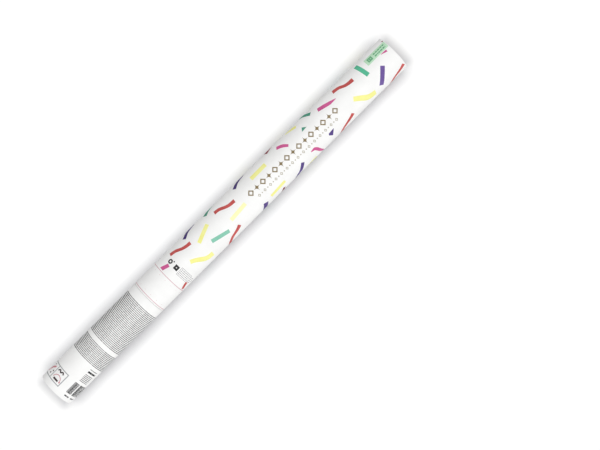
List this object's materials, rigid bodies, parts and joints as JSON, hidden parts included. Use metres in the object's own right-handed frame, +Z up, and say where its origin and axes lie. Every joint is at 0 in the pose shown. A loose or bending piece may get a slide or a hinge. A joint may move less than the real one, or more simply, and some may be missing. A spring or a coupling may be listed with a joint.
{
  "type": "confetti popper",
  "caption": "White paper-tube confetti cannon: twisting the lower grip tube slides a gas canister onto its valve seat, and the gas pushes a tissue load out of the muzzle.",
  "frame": {"origin": "under the middle of the tube's length, on the surface that it lies on", "axes": "+X along the tube from its base to its muzzle, +Z up"},
  "size_m": [0.6, 0.049, 0.049],
  "materials": {
    "printed_paper": "satin",
    "card": "matte",
    "white_abs": "matte",
    "grey_abs": "matte",
    "acetal": "satin",
    "drawn_aluminium": "satin",
    "tinned_steel": "satin",
    "spring_steel": "satin",
    "nitrile_rubber": "matte",
    "wool_felt": "matte",
    "tissue_red": "matte",
    "tissue_yellow": "matte",
    "tissue_green": "matte",
    "tissue_blue": "matte",
    "tissue_magenta": "matte"
  },
  "bodies": {
    "barrel": {"barrel_tube": "printed_paper", "breech_body": "grey_abs", "thrust_washer": "acetal", "retaining_ring": "spring_steel", "nozzle_block": "acetal", "nozzle_o_ring": "nitrile_rubber", "valve_stem": "acetal", "gas_spreader": "grey_abs"},
    "grip": {"grip_tube": "printed_paper", "cam_sleeve": "grey_abs", "base_cap": "white_abs"},
    "canister": {"canister_carrier": "grey_abs", "follower_pins": "spring_steel", "canister_shell": "drawn_aluminium", "valve_cup": "tinned_steel", "cup_gasket": "nitrile_rubber", "valve_housing": "acetal", "valve_gasket": "nitrile_rubber", "valve_spring": "spring_steel"},
    "load": {"wad": "wool_felt", "pusher_disc": "card", "confetti_red": "tissue_red", "confetti_yellow": "tissue_yellow", "confetti_green": "tissue_green", "confetti_blue": "tissue_blue", "confetti_magenta": "tissue_magenta", "top_disc": "card"},
    "cover": {"muzzle_cover": "card"}
  },
  "joints": [
    {"name": "grip_twist", "type": "hinge", "parent": "barrel", "child": "grip", "pos_m": [0, 0, 0.0245], "axis": [1, 0, 0], "range_deg": [0, 90]},
    {"name": "canister_slide", "type": "slide", "parent": "barrel", "child": "canister", "axis": [1, 0, 0], "range_m": [0, 0.006], "deforming": ["valve_spring"]},
    {"name": "load_slide", "type": "slide", "parent": "barrel", "child": "load", "axis": [1, 0, 0], "range_m": [0, 0.405]},
    {"name": "cover_slide", "type": "slide", "parent": "barrel", "child": "cover", "axis": [1, 0, 0], "range_m": [0, 0.5068]}
  ],
  "couplings": [
    {"joint": "canister_slide", "follows": "grip_twist", "m_per_rad": 0.0038197},
    {"joint": "cover_slide", "follows": "load_slide", "ratio": 1.25}
  ]
}
